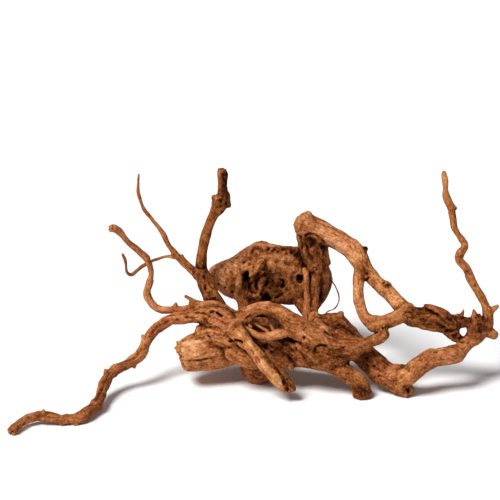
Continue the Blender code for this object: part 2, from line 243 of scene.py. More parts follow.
# The sizes of the bumps, in millimetres: of the grain (length first, the splinters' last),
# of round lumps, and of the decay (height last)
RIDGES, FIBRES, SPLINTERS = (22.0, 3.2, 3.2), (9.0, 1.8, 1.8), (1.7, 1.7, 15.0)
SWELLINGS, KNOBS, PITTING = (11.0, 11.0, 11.0), (4.6, 4.6, 4.6), (3.0, 3.0, 3.0)
WORN, CRUMBS = (4.5, 4.5, 7.0), (2.3, 2.3, 3.5)
UP_RIDGES = 2.6


def grow(*points, melt=3.0, fibres=0.7, lumps=0.8, rot=0.0, tone=0.0, ragged=(0.0, 0.0),
         start=ROUND, end=ROUND, grain="along"):
    """Grows a limb into the wood. melt is how softly it joins what is there, fibres, lumps
    and rot how deep its grain ridges, swellings and decay are, all in millimetres; tone is
    how light it is; ragged how far its two ends are splintered."""
    seed = len(limbs)
    limb, block, places, skin, (along, side, up), band = draw(points, tone=tone, rot=rot,
                                                              grain=grain, seed=seed)
    spot = places_of(band, places)
    run = along[band], side[band], up[band]
    if grain == "up":
        run = UP_RIDGES * spot[2], spot[0], spot[1]
    shift = fibres * (0.7 * bumps(RIDGES, run, seed) + 0.5 * bumps(FIBRES, run, seed + 3))
    shift += lumps * bumps(SWELLINGS, spot, seed + 5)
    shift += 0.5 * lumps * bumps(KNOBS, spot, seed + 7)
    if rot:
        worn, fine = bumps(WORN, spot, seed + 9), bumps(CRUMBS, spot, seed + 11)
        shift += rot * (0.8 - 1.6 * np.abs(worn) + 0.5 * fine)
    skin[band] += shift
    centres, radii = limb["centres"], limb["radii"]
    for share, depth, at, inner in ((start, ragged[0], 0, 1), (end, ragged[1], -1, -2)):
        if share == ROUND:
            continue
        # A broken end is cut across, splintered along the grain
        outward = centres[at] - centres[inner]
        outward /= np.linalg.norm(outward)
        far = along if at == 0 else limb["lengths"][-1] - along
        tip = np.nonzero((skin < EDGE) & (far < 2.0 * radii[at]))
        past = [c - o for c, o in zip(places_of(tip, places), centres[at])]
        past = dot(past, outward) - share * radii[at]
        past += depth * bumps(SPLINTERS, (side[tip], up[tip], along[tip]), seed + 17)
        skin[tip] = np.maximum(skin[tip], past)
    join(block, skin, melt, 1)
    limbs.append(limb)


FIRST_HOLLOW_SEED = 94


def carve(*points, melt=1.0, rough=0.5, dark=1.0):
    """Hollows the wood out along a line: a decayed pit, a hole or a crack. Painted shade darkens
    its face, by the amount given with it.
    """
    seed = FIRST_HOLLOW_SEED + len(hollows)
    hollow, block, places, skin, _, band = draw(points, dark=dark)
    skin[band] += rough * bumps(PITTING, places_of(band, places), seed)
    join(block, skin, melt, -1)
    hollows.append(hollow)


tints = []
NEAR_BACK, FAR_BACK, BACK_STEP = 40.0, 290.0, 0.5
POINT_LENGTH = 0.9


def on_face(points):
    """Drawn points with how far back the wood's face is at each; those off it are left out."""
    backs = np.arange(NEAR_BACK, FAR_BACK, BACK_STEP)
    found = []
    for across, up in points:
        cells = np.rint((place(across, up, backs)[0] - space_low) / CELL).astype(int)
        met = np.all((cells >= 0) & (cells < space_size), axis=1)
        met[met] = space[tuple(cells[met].T)] < 0.0
        if met.any():
            found.append((across, up, float(backs[met.argmax()])))
    if len(found) == 1:
        # A lone point becomes a short line, turned one way or another
        across, up, back = found[0]
        found.append((across + POINT_LENGTH * math.sin(across),
                      up + POINT_LENGTH * math.cos(2.3 * up), back))
    return found


def score(*points, wide=0.6, deep=1.2, rough=0.8, dark=0.3):
    """Scores a crack or a pit into the face, along drawn points; its ends run out, and painted
    shade darkens it.
    """
    line = on_face(points)
    if len(points) > 1 and line:
        line[0] = (*line[0][:2], line[0][2] - 0.5 * deep)
        line[-1] = (*line[-1][:2], line[-1][2] - 0.5 * deep)
    if line:
        carve(*((a, u, back + deep - wide, wide) for a, u, back in line), rough=rough, dark=dark)


def swell(*points, wide=4.0, high=0.8, **looks):
    """Raises a ridge or a knot on the face, along drawn points."""
    line = on_face(points)
    if line:
        grow(*((a, u, back + wide - high, wide) for a, u, back in line), **looks)


def tint(*points, wide=7.0, light=0.2):
    """Lightens the face's colour round drawn points, or darkens it where light is below nothing:
    the wood's own tone in some places, painted light and painted shade in others.
    """
    for spot in on_face(points):
        tints.append((place(*spot)[0], wide, light))


def each(make, *lines, **looks):
    """Makes the same along each of several lines."""
    for line in lines:
        make(*line, **looks)


def pits(*spots, **looks):
    """Scores a pit into the face at each drawn point."""
    for spot in spots:
        score(spot, **looks)


grow((-236.5, 6, 4, 4.4), (-231, 11, 13, 4.8), (-222, 16.5, 24, 5.2), (-211.5, 20, 30, 5.3),
     (-201, 19.3, 30, 5.4), (-189, 18.3, 29, 5.4), (-174, 18, 31, 5.5), (-164, 22, 37, 5.6),
     (-154, 31, 55, 6), (-149, 40, 74, 5.5), (-145.5, 50, 90, 5.4), (-139, 61, 104, 5.2),
     (-131, 69, 112, 5), (-119.5, 74, 118, 5.4), (-109.5, 81, 126, 5.7), (-103.5, 93.5, 136, 5.7),
     (-96, 105, 142, 5.8), (-87, 112, 144, 6), (-76, 117, 142, 5.8), (-62, 118, 138, 5.8),
     (-46, 118, 132, 6.5), (-32, 115, 125, 7.5), (-19, 107, 116, 7.5), (-6, 95, 104, 6.6),
     (5, 84, 96, 6.3), (12.5, 73.5, 90, 6.2), (22.5, 61.5, 86, 5.8), (30, 52, 84, 4.6),
     (34.5, 47.5, 83, 4), start=BROKEN, end=0.6, ragged=(2, 3), fibres=1.1, lumps=1.2)
each(grow, ((-205, 19, 28, 3.5), (-205, 26, 30, 1.6)),
     ((-142, 62, 104, 3.5), (-144, 66, 105, 1.8)), ((-117, 75, 119, 3.5), (-115, 69, 117, 1.6)),
     ((-104, 96, 137, 3.5), (-107, 100, 138, 1.8)), ((-151, 32, 58, 4.5), (-148, 28, 56, 2)),
     ((-174, 16, 29, 4), (-173, 11, 27, 2)), melt=2, fibres=0.3, lumps=0.2)
grow((20, 75, 91, 3.4), (30.5, 66, 89, 3.6), (37.4, 57, 87, 3.5), (42.6, 47.2, 85, 3.2), melt=1,
     end=0.6, ragged=(0, 4), tone=-0.1, fibres=1)
grow((36, 57, 87, 2.4), (38.5, 52, 86, 3.4), (40, 47, 84.5, 3.2), melt=1.5, end=0.6, ragged=(0, 3),
     fibres=1, lumps=1.4)
each(score, ((-166, 24), (-157, 32)), ((-153, 36), (-147, 47), (-141, 57)),
     ((-128, 73), (-117, 77), (-108, 86)), ((-100, 99), (-92, 110), (-82, 115)),
     ((-74, 116), (-64, 119), (-56, 118)), wide=0.5, deep=0.8, dark=0.4)
# Painted highlight along the runner's lit upper edge
tint((-158, 34), (-152, 48), (-136, 70), (-118, 79), (-106, 96), (-90, 115), (-72, 121), wide=3.5,
     light=0.35)
score((25, 70), (29, 64), (32, 58), (34, 52), wide=1.3, deep=3, dark=0.6)
score((36, 48), (38, 46), wide=1.5, deep=3.5, dark=0.8)
each(score, ((37, 57), (39, 53), (41, 50)), ((12, 86), (18, 76), (24, 69)), deep=1, dark=0.4)
score((-7, 97), (2, 85), (9, 75), wide=0.5, deep=0.8)
swell((16, 80), (20, 73), (25, 67), wide=3.6, tone=-0.1)
swell((-4, 95), (0, 89), wide=3.5, tone=0.3)
# Painted light along the lit left side of the runner where it crosses the front
tint((-10, 101), (-2, 91), (5, 82), (12, 73), (18, 66), (24, 58), (29, 52), wide=4.5, light=0.7)
tint((29, 70), (34, 64), (38, 58), (42, 52), (43, 48), wide=3.6, light=-0.4)
tint((-168, 20), (-154, 31), (-148, 42), (-140, 60), wide=14, light=-0.2)
tint((-120, 74), (-104, 93), (-88, 111), wide=12, light=-0.08)

# The hook rises at the left, and its root runs on over the front as the upper arc, down to
# the strap below the ring. Two webs of wood join it to the runner.
grow((-138.5, 208.5, 150, 4), (-134.5, 207, 152, 3.8), (-128.5, 202, 154, 3.6),
     (-121, 193.3, 157, 3.4), (-112, 185.2, 160, 3.6), (-104, 178, 162, 3.5),
     (-99.8, 169, 164, 3.1), (-98.6, 161, 166, 3.3), (-101.5, 149, 168, 3.7),
     (-102.4, 142, 168, 3.8), (-98, 133, 166, 4), (-91, 127, 163, 4.1), (-79, 126, 158, 4.2),
     (-63, 127, 152, 4.2), (-50, 129, 147, 5.6), (-38, 127.5, 142, 7), (-24, 122.5, 137, 7.2),
     (-12, 118, 131, 7.5), (-2, 122.5, 127, 7), (11, 127.5, 122, 6.6), (24, 125, 117, 7.4),
     (38, 118, 112, 8.6), (52, 108, 109, 9.5), (66, 99, 106, 10), (82, 90, 104, 9.5),
     (98, 88.5, 104, 8.5), (111, 91, 108, 6.5), (124, 97, 116, 5.4), (133, 101, 124, 5.6),
     start=BROKEN, ragged=(4, 0), tone=0.05, fibres=0.8, lumps=1)
each(grow, ((-102.5, 178, 162, 2.6), (-106, 183, 162, 1.4)),
     ((-75, 128, 157, 3.2), (-74, 132, 157, 1.8)),
     ((-52, 132, 149, 3.4), (-57, 135.5, 151, 2.3), (-64, 139.5, 152, 1.7)),
     ((-52, 131, 149, 3), (-60, 133, 151, 1.5)), melt=2, fibres=0.3, lumps=0.2, tone=-0.1)
grow((-58, 123, 146, 5), (-46, 122, 140, 7.5), (-30, 118, 131, 9), (-14, 112, 123, 9), melt=5,
     tone=0.1)
each(grow, ((-44, 122, 138, 6), (-28, 118, 128, 7), (-16, 110, 118, 7), (-8, 102, 110, 6.5)),
     ((-40, 114, 130, 7), (-24, 110, 122, 8), (-12, 114, 122, 7), (-4, 119, 124, 6.5)), melt=4,
     tone=0.1)
score((-45, 117), (-43, 114), wide=1.5, deep=3)
score((-39, 124), (-34, 123), (-28, 120), wide=1.3, deep=2.5)
score((-54, 123), (-46, 122), (-40, 119), deep=0.8, dark=0.2)
score((-27, 129), (-19, 125), (-15, 119), wide=0.7, deep=1.1, dark=0.4)
score((-28, 114), (-21, 111), (-14, 111), deep=0.9)
swell((-46, 131), (-36, 132), (-26, 128), wide=3.5, tone=0.15)
swell((-24, 103), (-18, 110), (-10, 116), wide=2.8, high=0.7, tone=0.2)
swell((0, 127), (8, 130), (18, 131), wide=3, high=0.6, tone=0.2)
score((-3, 118), (0, 120), wide=1.3, deep=2.5)
tint((5, 129), (16, 130), (26, 126), (36, 121), wide=8, light=0.12)

# The lower arc closes the eye-shaped opening at the front: a thin bare root, grown out of
# the runner and into the body. Thin rootlets cross behind it, grown in at both ends.
grow((-12, 111, 120, 4), (-4, 108, 116, 3.2), (2, 104, 113, 3.4), (10, 100, 110, 3.6),
     (20, 100, 108, 4.4), (32, 103, 107, 5.4), (42, 105, 108, 7), (52, 104, 110, 8), melt=2,
     tone=0.2, fibres=0.8)
grow((38, 111, 108, 6), (48, 106, 106, 9), (60, 98, 106, 11), (72, 92, 107, 11), melt=5, tone=0.1,
     fibres=1)
pits((40, 108), (54, 106), wide=1.1, deep=1.9)
score((8, 104), (16, 102), deep=1, dark=0.5)
each(grow, ((17.5, 121, 131, 1.4), (20.5, 113, 124, 1.4), (24, 104, 118, 1.7)),
     ((27, 119, 127, 1.3), (28, 112, 121, 1.2), (28.4, 104, 116, 1.4)),
     ((-2, 116, 128, 1.7), (7, 111, 124, 1.6), (18, 104, 118, 1.7)),
     ((4, 116, 129, 1.4), (13, 112, 126, 1.2), (21, 110, 124, 1.3)),
     ((-3, 114, 122, 1.8), (1, 108.5, 118, 1.4)), melt=0.8, tone=0.1, fibres=0.3, lumps=0.5)
# The wood seen between the rootlets lies deep in shade
for spot in ((2, 118, 148), (12, 116, 148), (22, 114, 148), (32, 111, 146), (4, 112, 134),
             (14, 109, 132), (24, 108, 130), (32, 107, 130)):
    tints.append((place(*spot)[0], 7, -0.4))

# The trunk stands behind the hook's root and splits into the tall broken stub and a long
# twig, from which a thinner twig loops forward.
grow((-30, 121, 148, 9), (-34.5, 131, 153, 9.8), (-40.5, 144, 162, 8.6), (-46, 156, 170, 8),
     (-48.8, 165, 176, 6.6), (-48.6, 174, 179, 5.5), (-47.6, 186, 181, 5.3), (-43.2, 205, 185, 5),
     (-37.6, 219, 188, 5), (-31, 230, 190, 6.8), (-27.6, 238, 192, 6.6), (-27.6, 246, 193, 4.8),
     (-27.6, 258, 194, 4.8), (-28.5, 268, 195, 4.2), end=BROKEN, ragged=(0, 6), tone=-0.35)
grow((-30, 233, 190, 6.2), (-28, 239, 192, 6.2), (-27.5, 248, 193, 4.5), (-27, 258, 194, 4.5),
     (-26, 262, 195, 3.8), end=BROKEN, ragged=(0, 5), melt=1, rot=0.9, fibres=0.9, tone=-0.5,
     lumps=1.2)
each(grow, ((-34, 236, 190, 3.5), (-37, 239, 190, 2.2)),
     ((-24, 232, 191, 4), (-21, 231, 191, 2.6)), melt=2, rot=0.5, tone=-0.3)
pits((-29, 236), (-24, 233), (-33, 226), (-28, 225), wide=0.8, deep=1)
score((-27, 262), (-26, 254), (-26, 246), deep=0.9)
# Painted shade on the right side of the stub's top
tint((-24.5, 262), (-24.5, 256), wide=3, light=-0.5)
score((-45, 146), (-44, 154), (-46, 160), deep=0.9)
pits((-44, 147), (-40, 143), (-46, 158), (-36, 137), wide=0.9, deep=1.3)
score((-53, 170), (-49, 167), (-45, 169), wide=0.7, dark=0.6)
grow((-32.5, 227, 189, 4.8), (-33, 235, 189, 4.8), (-33.5, 239, 189, 4.2), melt=1.5, end=BROKEN,
     ragged=(0, 4), rot=1, lumps=1.4)
grow((-25, 240, 192, 5), (-24, 232, 191, 4.8), melt=1.5, rot=0.9, tone=-0.3, lumps=1.4)
# Painted light on the stub's lit left side, painted shade on its right side
tint((-31, 262), (-31, 250), (-33, 238), (-32, 226), wide=3.6, light=0.4)
tint((-24, 264), (-24, 250), (-23, 240), wide=4.5, light=-0.35)
tint((-44, 196), (-38, 213), light=0.15)
grow((-111.6, 262, 205, 1.2), (-112.2, 246, 203, 2), (-108, 231, 200, 1.8), (-104.6, 225, 199, 2),
     (-97.4, 216, 197, 1.9), (-90.5, 207.4, 195, 2.1), (-86.6, 202, 194, 2.5),
     (-82, 192, 192, 2.4), (-76.8, 185, 191, 2.9), (-72.2, 179.5, 189, 3.2),
     (-66, 173.5, 186, 3.9), (-57, 165.3, 181, 4.2), (-48, 156.6, 174, 5.2), melt=2, fibres=0.4,
     lumps=0.6, tone=-0.15)
grow((-66, 175, 186, 2.6), (-68, 181.5, 187, 1), melt=1.5, fibres=0.2, lumps=0.1, tone=-0.3)
score((-66, 173), (-60, 168), (-55, 163), wide=0.7, deep=1.1)
grow((-70, 178, 188, 2.2), (-83, 179.6, 191, 1.8), (-93, 176.6, 193, 1.8), (-99, 174.4, 194, 1.7),
     (-109.3, 168.4, 195, 1.8), (-118, 161.2, 194, 1.9), (-123.2, 164, 192, 1.8),
     (-124.3, 174, 190, 1.8), (-127.2, 181.5, 189, 1.5), melt=2, fibres=0.3, lumps=0.5, tone=-0.25)

# The broken log at the lower left, its shoulder, the lump beside it, the ball that stands
# on the floor and the front body are the swollen middle of the root.
grow((-67, 79, 123, 13.5), (-64, 80, 124, 15), (-59, 81.6, 127, 17), (-47, 85.5, 132, 20),
     (-33, 87.5, 136, 22), (-18, 91.5, 138, 19.5), start=0.1, ragged=(2.2, 0), tone=0.22,
     fibres=0.4, lumps=1.2, melt=2.5)
each(grow, ((-60, 89, 124, 5), (-73, 94, 122, 1.3)), ((-64, 83, 120, 4), (-75, 88.5, 118, 1.2)),
     melt=2, fibres=0.3, lumps=0.2)
grow((-44, 101, 131, 12), (-32, 103, 127, 14), (-18, 99, 121, 13), (-8, 91, 114, 10), melt=2.5,
     tone=0.05, fibres=0.8)
score((-43, 103), (-38, 96), (-40, 89), wide=0.7, dark=0.4)
score((-63, 75), (-50, 76), (-36, 78), deep=0.8, dark=0.2)
score((-60, 94), (-50, 97), (-42, 100), deep=0.8)
swell((-64, 90), (-54, 93), (-44, 95), high=0.7, tone=0.35)
# Painted light on the log's lit front face
tint((-62, 86), (-56, 90), (-47, 92), (-54, 81), wide=10, light=0.22)
grow((-20, 88, 119, 8.5), (-14, 84, 113, 10.5), (-4, 79, 109, 10.8), (3, 76, 108, 9), melt=1.5,
     tone=0.05)
grow((0, 76, 138, 9), (4, 67, 138.5, 13), (12, 66, 138.5, 12.8), (20, 74, 138, 10), fibres=0.4)
grow((-14, 104, 140, 13), (10, 92, 136, 17), (30, 88, 132, 18), (46, 89, 124, 19.5),
     (58, 89.8, 118, 21.6), (70, 86, 114, 21), (82, 81.6, 111, 17.4), (88, 82, 110, 12), lumps=1.2,
     fibres=0.8)
grow((24, 86, 122, 12), (34, 78, 116, 9.5), (40, 74, 112, 6.5), lumps=1)
grow((58, 93, 112, 14), (73, 89, 108, 12.5), (88, 86, 107, 11), (100, 86, 107, 9.5), melt=4,
     tone=-0.15, lumps=1.3, fibres=1.1)
score((38, 98), (44, 95), (50, 93), wide=2.4, deep=5)
swell((69, 87), (74, 86), high=0.5, tone=0.2)
score((64.5, 84), (65, 87), (67, 90), (70, 91.3), (75, 90.5), wide=1.2, deep=2.2, rough=0.4,
      dark=0.5)
score((72, 85), (74, 86), deep=0.5, dark=0.1)
score((-19, 95), (-13, 96), (-8, 94), wide=1.3, deep=3)
score((14, 90), (22, 84), (28, 74), wide=1.3, deep=1.7, dark=0.4)
score((34, 84), (40, 78), (46, 72), wide=0.8, deep=1.1)
score((50, 84), (56, 76), wide=0.7, deep=1)
score((76, 76), (84, 78), (92, 80), deep=0.8, dark=0.2)
swell((50, 91), (58, 84), (66, 77), high=1.2, tone=0.1)
swell((20, 96), (30, 91), (38, 86), high=1, tone=-0.1)
swell((40, 70), (42, 67), wide=2, high=2.5, tone=-0.1)
swell((28, 72), (32, 69), wide=2.5, high=1.5, tone=-0.1)
pits((54, 98), (93, 88), (60, 70), (46, 87), wide=1)
# Painted shade on the body beside the front root and on its lower part, painted highlight along
# its top
tint((18, 86), (26, 78), (34, 90), (42, 80), wide=9, light=-0.25)
tint((54, 84), (64, 76), (74, 80), (86, 82), (98, 84), wide=10, light=-0.18)
tint((52, 104), (60, 96), (74, 96), (90, 92), (104, 90), wide=5, light=0.15)

# Two feet at the right: one comes straight out of the body, the rear slab runs down to the
# other, and the right root climbs from there to the root of the antler.
grow((76, 78, 110, 12), (87, 69, 104, 9.2), (100.3, 60, 100, 8.8), (109, 52, 98, 9.4),
     (111.7, 42.5, 97, 9.4), end=BROKEN, ragged=(0, 2), tone=-0.1, fibres=0.5)
grow((68, 109, 152, 8.5), (74, 109, 153, 10.5), (84, 111, 156, 11.6), (95, 101.5, 152, 11.8),
     (105, 89.5, 142, 12.2), (118.6, 75.4, 126, 12.7), (133.4, 63.2, 113, 12.5),
     (146, 55.3, 105, 11.6), (152.5, 48.8, 102, 9), (157, 45, 100.5, 6.8), end=BROKEN,
     ragged=(0, 2.5), tone=-0.1, lumps=1.3, fibres=0.6)
grow((64, 112, 152, 7), (74, 106, 148, 10), (88, 99, 144, 11), (102, 91, 138, 11), melt=4,
     tone=-0.1, lumps=1.4)
grow((72, 118, 160, 4.5), (81, 119.5, 162, 4.2), (89, 118, 161, 3.6), (96, 108, 156, 4.6), melt=2,
     tone=-0.1, rot=0.8, lumps=1.2)
each(swell, ((70, 122),), ((90, 120), (91, 122.5)), wide=2.2, high=2, tone=-0.1)
swell((64, 119), (66, 113), (71, 107), (77, 102), wide=5.5, tone=0.05, lumps=1.4)
tint((66, 118), (70, 111), (74, 106), light=0.06)
score((68, 111), (75, 104), (83, 99), (95, 97), (106, 97), wide=0.8, deep=1.3)
# Painted shade in the hollow of the slab
tint((84, 108), (92, 108), (98, 104), (106, 101), light=-0.3)
score((62, 115), (68, 118), (76, 118), wide=0.8, dark=0.4)
score((77, 112), (79, 106), (83, 101), wide=0.7, deep=1)
score((92, 112), (98, 107), (103, 102), deep=0.6, dark=0.1)
swell((84, 117), (92, 112), (100, 105), wide=3, high=1)
pits((107, 99), (117, 78), (141, 59), (146, 59), (144, 54), (138, 57), (128, 60), (124, 70),
     (134, 68), (86, 70), wide=0.9, deep=1.4)
swell((112, 92), (116, 90), high=1.2, tone=0.1)
score((154, 49), (156, 47), (158, 45), wide=2.4, deep=4, rough=1.4, dark=0.4)
swell((143, 61), (150, 61.5), wide=10.5, high=3)
score((110, 48), (114, 45), wide=2.2, rough=1.6, dark=0.1)
each(score, ((115, 49), (117, 44)), ((107, 44), (111, 41)), wide=0.9, rough=1.2, dark=0.2)
tint((112, 45), wide=9, light=-0.2)
swell((148, 50), (151, 48), wide=3, high=1.2, tone=-0.1)
swell((162, 46), wide=2, high=1.2, tone=-0.1)
grow((110.7, 46, 97, 9.4), (111.7, 42.5, 97, 9.5), melt=1.5, end=BROKEN, ragged=(0, 2), rot=1.1,
     tone=-0.15)
grow((150, 57, 102, 10), (160, 63, 100, 10), (171, 71.8, 102, 9.8), (183, 77.2, 106, 8.8),
     (197, 81.4, 110, 8.5), (208, 84, 116, 8.3), (216, 91.5, 124, 7.4), (226.5, 100, 132, 7.2),
     (234.5, 107.5, 138, 6.3), tone=0.15, fibres=0.6, lumps=1.2)
swell((176, 82), (180, 84), high=1.2, tone=0.2)
swell((190, 79), (198, 79), (205, 81), wide=8, high=1.6, tone=0.1)
swell((162, 70), (168, 72), wide=4.5, high=1, tone=0.15)
pits((186, 84), (194, 86), (202, 88), (207, 90), (170, 76), (157, 68), (149, 70), (190, 78),
     wide=0.7, deep=1)

# The stump at the back is swollen and hollow: its front has rotted out under a brow, with
# holes right through. Legs in front and a root behind carry it.
grow((-38, 162, 199, 3), (-29, 159.6, 203, 13.7), (-10, 158.5, 212, 22.4), (12, 162.5, 222, 29),
     (40, 159.5, 224, 28), (60, 157, 220, 22), (71, 154, 212, 10), melt=2, tone=0.3, fibres=0.6,
     lumps=1.3, rot=0.3, grain="up")
grow((2, 180, 214, 9.5), (12, 185, 216, 10), (30, 179, 214, 9.5), (48, 180, 212, 9.5), tone=0.15,
     rot=0.5, grain="up")
grow((-2, 141, 208, 8.5), (14, 141.5, 208, 9.5), (30, 141.5, 208, 9.5), (44, 143, 206, 9.5),
     tone=-0.1, rot=0.8, grain="up")
carve((4, 153, 186, 11.5), (17, 152, 184, 15), (32, 152, 184, 15), (43, 153, 186, 11.5), melt=8,
      rough=1.8, dark=0.2)
carve((0, 151, 192, 7.5), (12, 147, 192, 9.5), (30, 145, 191, 10), (43, 148, 191, 8), melt=5,
      rough=2.2, dark=0.3)
carve((-3, 160, 192, 4.6), (-3, 157, 212, 4), melt=2, rough=2.2, dark=0.7)
carve((-4, 152, 192, 3.4), (-3, 152, 212, 3), melt=2, rough=1.8, dark=0.7)
carve((15.5, 139.5, 186, 6.2), (17, 138, 216, 5.2), melt=2, rough=2.4, dark=0.7)
carve((50, 157, 190, 3.8), (49, 157, 214, 3.5), melt=2, rough=2, dark=0.7)
grow((-10, 150, 200, 9), (-7.5, 138, 196, 6.5), (-6.5, 126, 188, 6), (-8, 116, 172, 6.8),
     (-5, 104, 152, 9.5), melt=2.5, tone=-0.1)
grow((44, 150, 208, 11), (50, 136, 202, 8), (58, 124.5, 190, 7.4), (61.5, 111, 168, 7.6), melt=2.5,
     tone=-0.15, rot=0.5)
grow((76, 158, 212, 5), (76, 148, 208, 5), (69.5, 139, 202, 6.4), (63, 129, 192, 5.6), melt=2,
     tone=-0.1)
swell((4, 166), (2, 156), (5, 148), wide=3, high=1.2, tone=-0.1, rot=0.6)
swell((12, 158), (10, 151), wide=3, high=1.4, tone=-0.1, rot=0.6)
swell((24, 168), (27, 156), (22, 147), wide=3.6, high=1.4, tone=-0.05, rot=0.8)
swell((22, 143), (30, 146), (38, 140), wide=4.5, high=1.8, tone=-0.05, rot=0.8)
swell((40, 164), (39, 154), (43, 146), wide=3, high=1.2, tone=-0.05, rot=0.6)
score((9, 158), (6, 152), (8, 146), wide=1.4, deep=2, rough=1.4)
each(score, ((19, 157), (16, 151)), ((30, 157), (34, 153), (31, 148)), wide=1.2, deep=1.8,
     rough=1.4)
score((26, 138), (33, 142), wide=1, deep=2, rough=1)
score((2, 185), (5, 189), (10, 187), wide=2, deep=2.4, dark=0.5)
pits((13, 185), (18, 187), (22, 184), (25, 187), (27, 183), (31, 181), (33, 186), (36, 182),
     (40, 186), (42, 183), (46, 181), (29, 187), (20, 182), wide=1.25, deep=2.3, dark=0.5)
tint((16, 186), (24, 185), (32, 184), (38, 184), wide=4, light=-0.15)
# Painted shade of a hollow at the right end of the ledge
tint((43, 186), (47, 182), (45, 178), wide=4.5, light=-0.5)
# Painted light on the stump's lit upper left edge, where the stub's shadow falls
tint((-26, 176), (-16, 180), (-6, 187), (4, 192), light=0.25)
tint((22, 190), (34, 189.5), wide=3, light=0.3)
swell((15, 189), (25, 189), (36, 188), (46, 187), wide=2.2, tone=0.05, rot=0.4)
swell((4, 176), (18, 179), (34, 178), (50, 174), wide=4.5, tone=0.2)
pits((-28, 170), (-22, 156), (-31, 152), (-18, 144), (-25, 148), (-14, 166), wide=0.9)
swell((-14, 168), (-12, 154), (-13, 140), wide=4.5, high=1, tone=0.15)
score((-6, 174), (-5, 162), (-4, 146), wide=1, deep=1.8, dark=0.7)
# Painted light on the stump's lit left lobe and brow
tint((-36, 162), (-27, 156), (-22, 146), wide=10, light=0.05)
tint((-38, 168), (-28, 164), (-18, 174), (-12, 156), (6, 186), (12, 176), (25, 176), (40, 174),
     wide=10, light=0.15)
# Painted shade round the finger and in the creases under the brow and ledge
tint((4, 164), (2, 152), (14, 164), light=-0.15)
tint((15, 174), (26, 172), (38, 171), (0, 178), (-18, 150), (-16, 158), (7, 180), wide=4,
     light=-0.4)
# Painted highlight on the front of the ledge
tint((-20, 168), (-8, 180), (22, 177), (34, 176), (46, 168), wide=4.5)
grow((1, 160.5, 178, 1.8), (3, 163, 178, 2.4), (7, 167, 179, 3.2), (10, 171, 183, 3.8),
     (11, 172, 192, 4.6), (11, 170, 210, 5), melt=1.2, tone=0.1, rot=0.9, lumps=1.8, fibres=1.2)
each(grow, ((3, 164, 179, 2.6), (-1, 168, 180, 1.8)), ((8, 167, 179, 2.8), (12, 164, 180, 2)),
     ((10, 172, 184, 3.2), (13, 176, 184, 2.2)), ((7, 170, 182, 3), (3, 173, 184, 2.2)), melt=1.2,
     tone=0.1, rot=0.7, lumps=1.4)
each(carve,
     ((14, 189, 249, 3), (14, 178, 253, 4), (14, 165, 256, 5), (13, 150, 254, 5),
      (13, 138, 246, 4)),
     ((36, 186, 247, 3), (36, 176, 251, 4), (36, 164, 254, 5), (32, 148, 252, 5),
      (26, 132, 244, 4)),
     ((-8, 176, 242, 3), (-8, 170, 245, 3.5), (-6, 160, 248, 4.5), (0, 146, 246, 4.5),
      (4, 134, 240, 3.5)),
     ((54, 178, 240, 3), (54, 170, 244, 4), (53, 158, 246, 4.5), (46, 142, 244, 4.5),
      (38, 126, 240, 3.5)),
     ((-20, 170, 231, 3), (-19, 158, 235, 4), (-12, 146, 234, 3.5)),
     ((66, 172, 226, 3.5), (68, 160, 230, 4), (60, 148, 232, 4)), melt=5, rough=1.6, dark=0.1)
each(carve, ((24, 168, 253, 3.2), (24, 166, 240, 2.4)), ((3, 158, 250, 2.6), (4, 157, 238, 2)),
     ((45, 154, 250, 3), (44, 153, 238, 2.2)), ((30, 190, 236, 2.6), (30, 188, 226, 2)),
     ((-14, 164, 236, 2.2), (-12, 163, 228, 1.8)), melt=2, rough=1.4, dark=0.5)
grow((8, 152, 232, 16), (12, 128, 232, 13), (20, 109, 238, 11), (40, 101, 242, 10.2),
     (62, 101, 243, 10), (84, 99, 240, 9.2), (100, 97, 232, 7), melt=4, tone=-0.05, end=BROKEN,
     ragged=(0, 3), lumps=1.6, fibres=1.1)
each(grow, ((50, 104, 243, 7), (54, 110, 241, 3.4)),
     ((30, 106, 241, 8), (27, 100, 234, 4.5), (22, 95, 226, 2)),
     ((78, 101, 240, 7), (84, 107, 238, 3.2), (88, 111, 237, 2)),
     ((16, 124, 236, 10), (24, 118, 246, 6), (30, 108, 247, 5)),
     ((6, 128, 226, 10), (2, 114, 222, 6), (-2, 104, 218, 3)), melt=4, lumps=1, tone=-0.05)
each(carve, ((24, 112, 250, 2), (44, 103, 254, 2), (66, 102, 253, 2), (88, 101, 249, 1.6)),
     ((30, 118, 244, 1.6), (50, 112, 244, 1.6), (70, 111, 243, 1.6)),
     ((8, 140, 250, 2.4), (10, 128, 247, 2.2), (16, 116, 247, 2)), melt=2, rough=1.2, dark=0.2)
grow((8, 104, 160, 14), (12, 106, 190, 11), (18, 112, 232, 10), melt=4, tone=-0.1, lumps=1)
# Painted shade on the wood seen through the eye-shaped opening
tint((22, 118), (27, 114), (31, 112), (26, 110), (18, 119), light=-0.5)

# The pillar is a branch that has rotted into dark fibres. It grew out of the stump's root,
# and with two thin struts it carries the arch.
grow((58.5, 211, 202, 8.5), (59.5, 204, 203, 12.6), (62.5, 192, 203, 14.8), (66, 178, 203, 13.2),
     (69.5, 162, 204, 9.5), (68, 148, 200, 8), tone=0.05, rot=0.8, fibres=1.6, lumps=1)
each(score, ((52, 188), (54, 181), (56, 174)), ((57, 190), (59, 183), (62, 176)),
     ((62, 180), (64, 172), (67, 165)), ((63, 194), (66, 187), (68, 180)),
     ((70, 193), (71, 187), (73, 180)), ((72, 176), (73, 170), (75, 163)), ((56, 172), (59, 166)),
     ((67, 174), (69, 167)), ((60, 195), (61, 190)), wide=0.7, deep=1.3)
swell((55, 186), (59, 172), (63, 160), wide=2, high=0.7, tone=0.2, rot=0.6)
swell((66, 190), (69, 176), (72, 162), wide=2.2, high=0.7, tone=0.1, rot=0.6)
swell((73, 196), (76, 188), (77, 178), wide=2.2, tone=0.2, rot=0.6)
